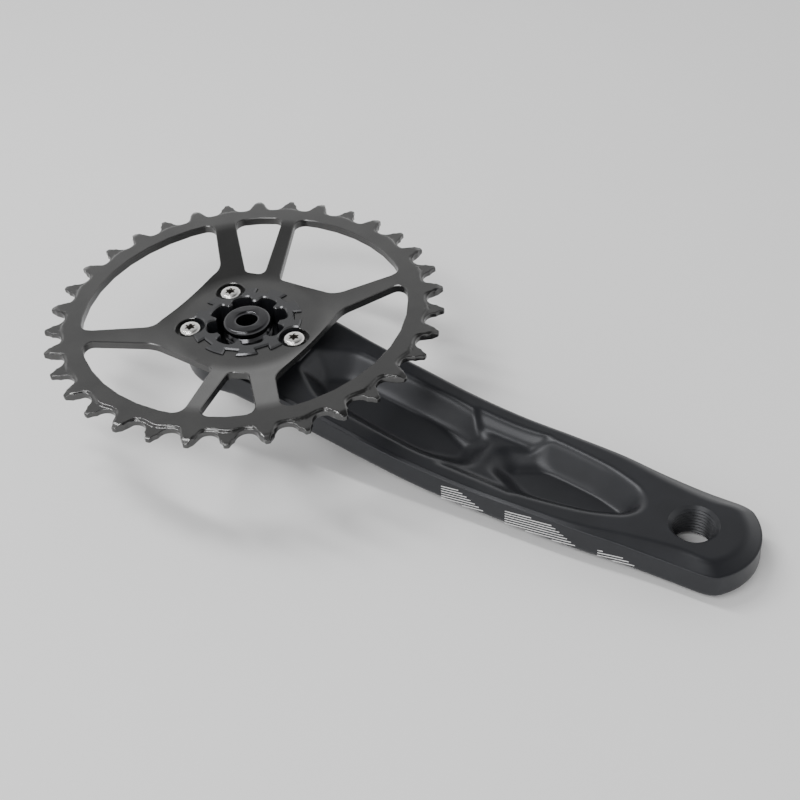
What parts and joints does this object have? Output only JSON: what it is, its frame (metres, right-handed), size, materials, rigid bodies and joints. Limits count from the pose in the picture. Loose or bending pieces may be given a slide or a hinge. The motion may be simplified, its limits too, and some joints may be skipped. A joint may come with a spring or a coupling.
{
  "type": "bicycle crankset",
  "caption": "Drive-side bicycle crank arm with a direct-mount dished chainring, captive self-extracting bolt and a threaded pedal eye.",
  "frame": {"origin": "on the spindle axis, at the inboard face of the arm's splined boss", "axes": "+Z along the spindle axis, inboard towards the frame; +X from the spindle axis to the pedal axis"},
  "size_m": [0.262, 0.1424, 0.0408],
  "materials": {
    "arm_alloy": "satin black anodised forging",
    "ring_steel": "semi-gloss black coated steel",
    "ring_bolt_steel": "bright stainless steel",
    "crank_bolt_steel": "glossy black oxide steel",
    "washer_steel": "plain steel",
    "washer_nylon": "natural nylon",
    "cap_alloy": "black anodised"
  },
  "bodies": {
    "crank": {"crank_arm": "arm_alloy", "chainring": "ring_steel", "chainring_bolt_1": "ring_bolt_steel", "chainring_bolt_2": "ring_bolt_steel", "chainring_bolt_3": "ring_bolt_steel", "cap_washer": "washer_nylon", "extractor_cap": "cap_alloy"},
    "washer": {"thrust_washer": "washer_steel"},
    "bolt": {"crank_bolt": "crank_bolt_steel"}
  },
  "joints": [
    {"name": "bolt_end_play", "type": "slide", "parent": "crank", "child": "washer", "axis": [0, 0, -1], "range_m": [0, 0.0003]},
    {"name": "bolt_turn", "type": "hinge", "parent": "washer", "child": "bolt", "pos_m": [0, 0, -0.008], "axis": [0, 0, 1], "continuous": true}
  ]
}
